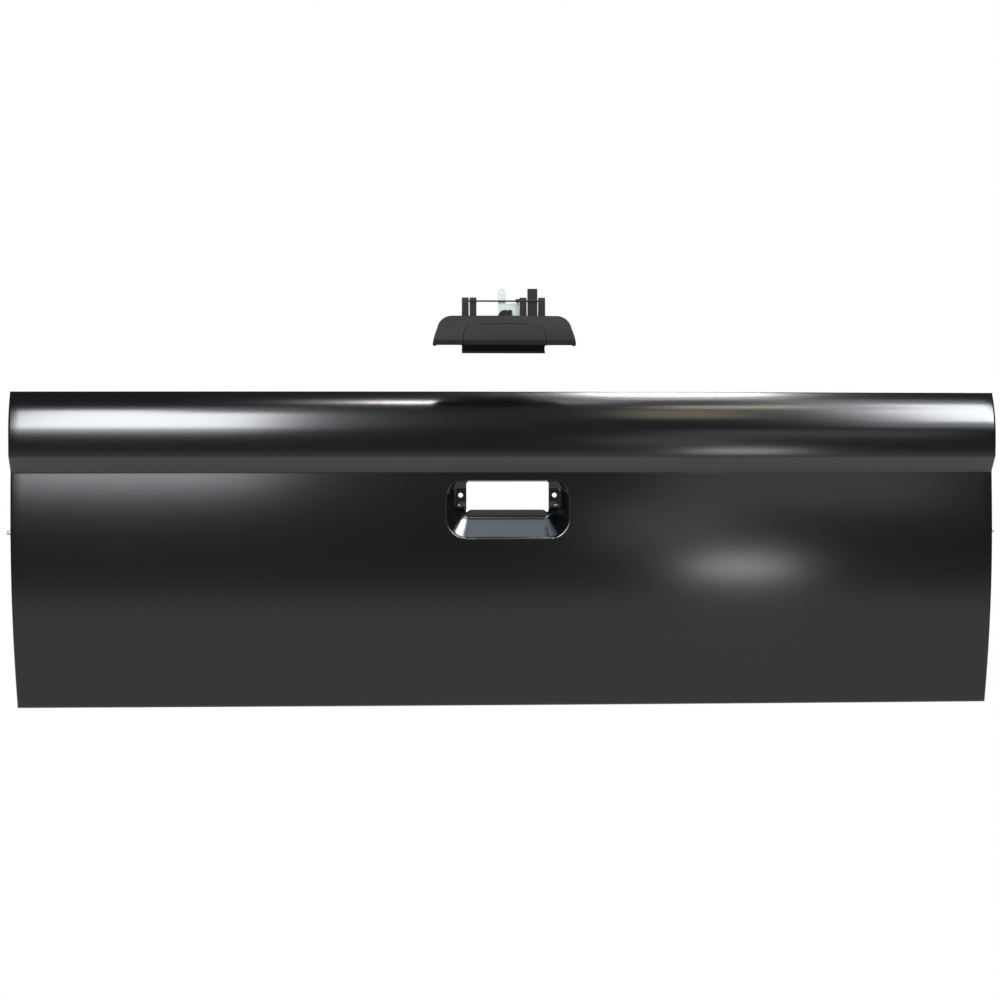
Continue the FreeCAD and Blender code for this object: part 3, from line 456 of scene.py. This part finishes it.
def make_recess():
    xs = np.arange(-PATCH_X, PATCH_X + PATCH_CELL / 2, 2 * PATCH_X / round(2 * PATCH_X / PATCH_CELL))
    zs = np.linspace(PATCH_Z[0], PATCH_Z[1], round((PATCH_Z[1] - PATCH_Z[0]) / PATCH_CELL) + 1)
    x, z = np.meshgrid(xs, zs)
    cell = xs[1] - xs[0]

    def window(a, b):
        # The opening with a slanted notch at each lower corner
        main = rounded_rectangle(a, b, WINDOW_HALF, WINDOW_Z[0], WINDOW_Z[1], WINDOW_RADIUS, WINDOW_RADIUS)
        inwards = np.abs(a) - (WINDOW_HALF - NOTCH_WIDTH)
        low_here = WINDOW_Z[0] - NOTCH_DEPTH * np.clip(inwards / (NOTCH_WIDTH - NOTCH_FLAT), 0, 1)
        above_below = np.maximum(low_here - b, b - WINDOW_Z[0] - NOTCH_HEIGHT)
        beside = np.abs(np.abs(a) - WINDOW_HALF + NOTCH_WIDTH / 2) - NOTCH_WIDTH / 2
        return np.minimum(main, np.maximum(above_below, beside))

    def screw_holes(a, b):
        return np.hypot(np.abs(a) - SCREW_X, b - SCREW_Z) - SCREW_RADIUS

    # Grid points nearest to an edge of an opening move onto it
    cuts = [window, screw_holes]
    on_edge = np.zeros(x.shape, bool)
    for distance in cuts:
        d = distance(x, z)
        gx = (distance(x + PROBE_STEP, z) - distance(x - PROBE_STEP, z)) / (2 * PROBE_STEP)
        gz = (distance(x, z + PROBE_STEP) - distance(x, z - PROBE_STEP)) / (2 * PROBE_STEP)
        near = (np.abs(d) < cell * 0.5 * np.maximum(np.abs(gx), np.abs(gz)) + NEAREST) & ~on_edge
        x = np.where(near, x - d * gx, x)
        z = np.where(near, z - d * gz, z)
        on_edge |= near
    y = bowed(barrel_y(z) + recess_depth(x, z), x)
    points = np.stack([x.ravel(), y.ravel(), z.ravel()], 1)
    rows, columns = x.shape
    faces = []

    def kept(corners):
        cx = sum(points[c][0] for c in corners) / len(corners)
        cz = sum(points[c][2] for c in corners) / len(corners)
        return all(distance(np.array([cx]), np.array([cz]))[0] > 0 for distance in cuts)

    edge = on_edge.ravel()
    signs = [np.sign(np.where(edge, 0, distance(x, z).ravel())) for distance in cuts]
    for i in range(rows - 1):
        for j in range(columns - 1):
            a = i * columns + j
            quad = (a, a + 1, a + columns + 1, a + columns)
            if not any(edge[c] for c in quad):
                if all(s[a] > 0 for s in signs):
                    faces.append(quad)
                continue
            if edge[quad[1]] and edge[quad[3]]:
                parts = [(quad[0], quad[1], quad[3]), (quad[1], quad[2], quad[3])]
            else:
                parts = [(quad[0], quad[1], quad[2]), (quad[0], quad[2], quad[3])]
            faces.extend(p for p in parts if kept(p))
    used = sorted({c for f in faces for c in f})
    place = {c: k for k, c in enumerate(used)}
    obj = new_object("handle_recess", points[used], [tuple(place[c] for c in f) for f in faces])
    thicken(obj)
    return obj


def box_faces(low, high):
    corners = [(x, y, z) for x in (low[0], high[0]) for y in (low[1], high[1]) for z in (low[2], high[2])]
    return corners, [(0, 1, 3, 2), (4, 6, 7, 5), (0, 4, 5, 1), (2, 3, 7, 6), (0, 2, 6, 4), (1, 5, 7, 3)]


def rod_faces(axis, centre, radius, low, high, sides=28):
    # Closed rod along axis 0 (x) or 2 (z); centre holds the other two coordinates.
    points = []
    for end in (low, high):
        for k in range(sides):
            turn = 2 * math.pi * k / sides
            u = centre[0] + radius * math.cos(turn)
            v = centre[1] + radius * math.sin(turn)
            points.append((end, u, v) if axis == 0 else (u, v, end))
    faces = [tuple(range(sides - 1, -1, -1)), tuple(range(sides, 2 * sides))]
    for k in range(sides):
        m = (k + 1) % sides
        faces.append((k, m, sides + m, sides + k))
    return points, faces


def cut_openings(obj):
    # Latch, strap, hinge and drain holes through the walls of the skin.
    shapes = []
    for side in (-1, 1):
        ends = sorted((side * (HALF_WIDTH - CUT_REACH), side * (HALF_WIDTH + CUT_REACH)))
        shapes.append(box_faces((ends[0], LATCH_Y[0], LATCH_Z[0]), (ends[1], LATCH_Y[1], LATCH_Z[1])))
        shapes.append(rod_faces(0, STRAP_PLACE, STRAP_HOLE_RADIUS, *ends))
        for z in LATCH_SCREW_Z:
            shapes.append(rod_faces(0, (sum(LATCH_Y) / 2, z), LATCH_SCREW_RADIUS, *ends))
        for x in HINGE_X:
            shapes.append(rod_faces(2, (side * x, FLANGE_HOLE_Y), HINGE_HOLE_RADIUS, -CUT_REACH, CUT_REACH))
        shapes.append(rod_faces(2, (side * DRAIN_X, FLANGE_HOLE_Y), DRAIN_RADIUS, -CUT_REACH, CUT_REACH))
    points, faces = [], []
    for shape_points, shape_faces in shapes:
        start = len(points)
        points += shape_points
        faces += [tuple(start + c for c in face) for face in shape_faces]
    cutter = new_object("cutter", points, faces)
    work = bmesh.new()
    work.from_mesh(cutter.data)
    bmesh.ops.recalc_face_normals(work, faces=work.faces)
    work.to_mesh(cutter.data)
    work.free()
    cut = obj.modifiers.new("openings", "BOOLEAN")
    cut.operation = "DIFFERENCE"
    cut.solver = "EXACT"
    cut.object = cutter
    apply_modifiers(obj)
    bpy.data.objects.remove(cutter)


def circle_through(a, b, c):
    # Centre and radius of the circle through three points of a plane.
    ax, ay = b[0] - a[0], b[1] - a[1]
    bx, by = c[0] - a[0], c[1] - a[1]
    area = 2 * (ax * by - ay * bx)
    x = (by * (ax ** 2 + ay ** 2) - ay * (bx ** 2 + by ** 2)) / area
    y = (ax * (bx ** 2 + by ** 2) - bx * (ax ** 2 + ay ** 2)) / area
    return (a[0] + x, a[1] + y), math.hypot(x, y)


def handle_front(x, z):
    # y of the handle's front skin: its side view swept in a wide bow.
    z = np.clip(z, HANDLE_LOW_Z, HANDLE_HIGH_Z)
    x = np.clip(x, -HANDLE_HALF, HANDLE_HALF)
    swell = (HANDLE_TOP_DROP * HANDLE_SWELL, (HANDLE_KNEE_Z + HANDLE_HIGH_Z) / 2)
    centre, radius = circle_through((0.0, HANDLE_KNEE_Z), swell, (HANDLE_TOP_DROP, HANDLE_HIGH_Z))
    side = math.copysign(1, centre[0])
    above = centre[0] - side * np.sqrt(radius ** 2 - (z - centre[1]) ** 2)
    drop = np.where(z < HANDLE_KNEE_Z, (HANDLE_KNEE_Z - z) * HANDLE_UNDER_SLOPE, above)
    bow = (HANDLE_HALF ** 2 + HANDLE_END_DROP ** 2) / (2 * HANDLE_END_DROP)
    return HANDLE_FRONT_Y + bow - np.sqrt((bow - drop) ** 2 - x ** 2)


def make_cover(name, node):
    # The moulding with the ends of its bosses and arms laid flush with its front skin.
    mesh = nodes[node].data
    points = np.array([v.co for v in mesh.vertices]) / MM
    skin_y = handle_front(points[:, 0] - LIFT[0], points[:, 2] - LIFT[2]) + LIFT[1]
    points[:, 1] = np.maximum(points[:, 1], skin_y)
    obj = new_object(name, points, [tuple(p.vertices) for p in mesh.polygons])
    work = bmesh.new()
    work.from_mesh(obj.data)
    bmesh.ops.remove_doubles(work, verts=work.verts, dist=MERGE_DISTANCE)
    bmesh.ops.dissolve_degenerate(work, edges=work.edges, dist=SHORTEST_EDGE)
    bmesh.ops.recalc_face_normals(work, faces=work.faces)
    work.to_mesh(obj.data)
    work.free()
    finish_shading(obj, MOULDING_ANGLE)
    return obj


def material(name, colour, roughness, metallic=0.0, specular=0.5, bump=0.0, grain=400.0):
    mat = bpy.data.materials.new(name)
    mat.use_nodes = True
    tree = mat.node_tree
    shader = tree.nodes["Principled BSDF"]
    shader.inputs["Base Color"].default_value = (*colour, 1)
    shader.inputs["Metallic"].default_value = metallic
    shader.inputs["Specular IOR Level"].default_value = specular
    where = tree.nodes.new("ShaderNodeTexCoord")
    noise = tree.nodes.new("ShaderNodeTexNoise")
    noise.inputs["Scale"].default_value = grain
    noise.inputs["Detail"].default_value = GRAIN_DETAIL
    tree.links.new(where.outputs["Object"], noise.inputs["Vector"])
    spread = tree.nodes.new("ShaderNodeMapRange")
    spread.inputs["To Min"].default_value = roughness - ROUGHNESS_VARIATION
    spread.inputs["To Max"].default_value = roughness + ROUGHNESS_VARIATION
    tree.links.new(noise.outputs["Fac"], spread.inputs["Value"])
    tree.links.new(spread.outputs["Result"], shader.inputs["Roughness"])
    if bump:
        relief = tree.nodes.new("ShaderNodeBump")
        relief.inputs["Strength"].default_value = bump
        relief.inputs["Distance"].default_value = GRAIN_HEIGHT
        tree.links.new(noise.outputs["Fac"], relief.inputs["Height"])
        tree.links.new(relief.outputs["Normal"], shader.inputs["Normal"])
    return mat


def paint(obj, mat):
    obj.data.materials.clear()
    obj.data.materials.append(mat)


primer = material("black primer", (0.0015, 0.0015, 0.0017), 0.16, grain=900.0)
bare = material("dull primer", (0.006, 0.006, 0.0065), 0.40, grain=900.0)
plastic = material("handle plastic", (0.010, 0.0095, 0.0098), 0.50, specular=0.11, bump=0.2, grain=2500.0)
steel = material("spring steel", (0.030, 0.030, 0.032), 0.4, metallic=0.9)
zinc = material("zinc plate", (0.32, 0.36, 0.33), 0.4, metallic=0.6, grain=150.0)
clip = material("clip plastic", (0.004, 0.004, 0.004), 0.40, specular=0.15)

FINISH = {
    "black_primer": primer, "bare_primer": bare, "handle_plastic": plastic,
    "spring_steel": steel, "zinc_plate": zinc, "clip_plastic": clip,
}
slot_of = {row["node"]: row["material_slot"] for row in frame["record"]["subparts"]}
for name, obj in nodes.items():
    paint(obj, FINISH.get(slot_of.get(name, "black_primer"), primer))

skin = make_skin()
recess = make_recess()
for obj in (skin, recess):
    paint(obj, primer)
    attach(obj, "tailgate")
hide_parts("outer_panel")
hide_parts("outer_panel")
for cover_name, node, body in (("bezel_moulding", "handle_bezel", "tailgate"),
                               ("paddle_moulding", "handle_paddle", "paddle")):
    cover = make_cover(cover_name, node)
    paint(cover, plastic)
    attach(cover, body)
    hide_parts(node)


def lamp(name, centre, target, width, height, radiance, colour=(1, 1, 1), spread=180):
    data = bpy.data.lights.new(name, "AREA")
    data.shape = "RECTANGLE"
    data.size = width
    data.size_y = height
    data.energy = radiance * width * height * LAMP_POWER
    data.color = colour
    data.spread = math.radians(spread)
    obj = bpy.data.objects.new(name, data)
    obj.location = centre
    obj.rotation_mode = "QUATERNION"
    obj.rotation_quaternion = (Vector(target) - Vector(centre)).to_track_quat("-Z", "Y")
    obj.visible_camera = False
    bpy.context.scene.collection.objects.link(obj)


def glow_plane(name, corners, radiance, colour=(1, 1, 1)):
    # A lit board or floor that the skin reflects.
    mesh = bpy.data.meshes.new(name)
    mesh.from_pydata(corners, [], [(0, 1, 2, 3)])
    obj = bpy.data.objects.new(name, mesh)
    bpy.context.scene.collection.objects.link(obj)
    mat = bpy.data.materials.new(name)
    mat.use_nodes = True
    tree = mat.node_tree
    tree.nodes.clear()
    out = tree.nodes.new("ShaderNodeOutputMaterial")
    glow = tree.nodes.new("ShaderNodeEmission")
    glow.inputs["Color"].default_value = (*colour, 1)
    glow.inputs["Strength"].default_value = radiance
    tree.links.new(glow.outputs["Emission"], out.inputs["Surface"])
    mesh.materials.append(mat)
    obj.visible_camera = False
    obj.visible_shadow = False


def floor(y_start, y_end):
    return [(-FLOOR_HALF, y_start, FLOOR_Z), (FLOOR_HALF, y_start, FLOOR_Z),
            (FLOOR_HALF, y_end, FLOOR_Z), (-FLOOR_HALF, y_end, FLOOR_Z)]


def board(x_low, x_high, z_low, z_high):
    return [(x_low, BOARD_Y, z_low), (x_high, BOARD_Y, z_low),
            (x_high, BOARD_Y, z_high), (x_low, BOARD_Y, z_high)]


def make_world():
    # White to the camera, a dim room to the reflections.
    world = bpy.data.worlds.new("studio")
    bpy.context.scene.world = world
    world.use_nodes = True
    tree = world.node_tree
    tree.nodes.clear()
    out = tree.nodes.new("ShaderNodeOutputWorld")
    mix = tree.nodes.new("ShaderNodeMixShader")
    path = tree.nodes.new("ShaderNodeLightPath")
    room = tree.nodes.new("ShaderNodeBackground")
    room.inputs["Color"].default_value = ROOM_TONE
    white = tree.nodes.new("ShaderNodeBackground")
    white.inputs["Color"].default_value = (1, 1, 1, 1)
    tree.links.new(path.outputs["Is Camera Ray"], mix.inputs["Fac"])
    tree.links.new(room.outputs["Background"], mix.inputs[1])
    tree.links.new(white.outputs["Background"], mix.inputs[2])
    tree.links.new(mix.outputs["Shader"], out.inputs["Surface"])


def make_camera():
    data = bpy.data.cameras.new("camera")
    data.sensor_width = SENSOR_WIDTH
    data.lens = LENS_SHARE * SENSOR_WIDTH
    data.clip_start = 0.1
    data.clip_end = 50
    camera = bpy.data.objects.new("camera", data)
    bpy.context.scene.collection.objects.link(camera)
    bpy.context.scene.camera = camera
    across = math.cos(CAMERA_PITCH)
    forward = Vector((-math.sin(CAMERA_YAW) * across, math.cos(CAMERA_YAW) * across, math.sin(CAMERA_PITCH)))
    right = Vector((math.cos(CAMERA_YAW), math.sin(CAMERA_YAW), 0))
    up = right.cross(forward)
    turned_right = right * math.cos(CAMERA_ROLL) - up * math.sin(CAMERA_ROLL)
    turned_up = up * math.cos(CAMERA_ROLL) + right * math.sin(CAMERA_ROLL)
    camera.location = CAMERA_PLACE
    camera.rotation_mode = "QUATERNION"
    camera.rotation_quaternion = Matrix((turned_right, turned_up, -forward)).transposed().to_quaternion()


make_world()
make_camera()
lamp("left softbox", (-1.25, -3.4, 2.05), (-1.25, 0, 2.05), 0.58, 2.1, 19, COOL)
lamp("left softbox inner", (-0.78, -3.4, 1.85), (-0.78, 0, 1.85), 0.36, 1.7, 19, COOL)
lamp("left softbox foot", (-1.07, -3.4, 0.76), (-1.07, 0, 0.76), 0.94, 0.46, 5.5, COOL)
lamp("left softbox rim", (-1.03, -3.41, 2.2), (-1.03, 0, 2.2), 1.1, 2.8, 1.6, COOL)
lamp("right softbox", (2.28, -3.4, 3.1), (2.28, 0, 3.1), 0.68, 2.8, 20, COOL)
lamp("right softbox inner", (1.84, -3.4, 2.5), (1.84, 0, 2.5), 0.2, 1.6, 18, COOL)
lamp("right softbox rim", (2.1, -3.41, 3.5), (2.1, 0, 3.5), 1.25, 4.8, 3, COOL)
lamp("top strip", (0.62, -0.9, 2.8), (0.5, 0, 0.45), 0.5, 0.5, 40, COOL)
lamp("upper streak", (0.76, -1.57, 3.14), (0.3, 0, 0.44), 0.6, 0.3, 8, COOL)
lamp("warm strip", (-0.09, -1.57, 2.40), (-0.12, 0, 0.43), 0.24, 0.10, 75, (1.0, 0.93, 0.9))
lamp("faint strip", (0.03, -1.57, 2.45), (0, 0, 0.43), 0.9, 0.25, 3.2, COOL)
lamp("amber strip", (0.80, -1.85, 2.2), (0.33, 0, 0.43), 0.4, 0.2, 8, (1.0, 0.9, 0.7))
lamp("amber patch", (0.60, -1.85, 1.55), (0.22, 0, 0.42), 0.3, 0.5, 2.4, (1.0, 0.88, 0.65))
lamp("recess fill", (0.002, -0.024, 0.3185), (0.002, -0.024, 0), 0.12, 0.034, 0.26, (0.78, 0.9, 1.08), 60)
lamp("recess glint", (-0.032, -0.024, 0.3185), (-0.0733, -0.024, 0.2595), 0.034, 0.03, 2.0, COOL, 50)
lamp("low spot", (0.82, -2.45, -0.02), (0.34, 0, 0.2), 0.25, 0.1, 12, (1.0, 0.97, 0.98))
glow_plane("floor in front", floor(-0.7, -4.5), 0.9)
glow_plane("floor below", floor(1.5, -0.7), 1.25)
glow_plane("right wall", board(0.75, 1.75, 0.36, 0.8), 1.2, (0.97, 0.97, 1.0))
glow_plane("right board", board(0.54, 1.0, 0.05, 0.4), 1.3)
lamp("rear softbox", (1.5, 3.0, 2.4), (0, 0, 0.2), 2.5, 2.0, 6)

bpy.context.scene.view_settings.view_transform = "Standard"
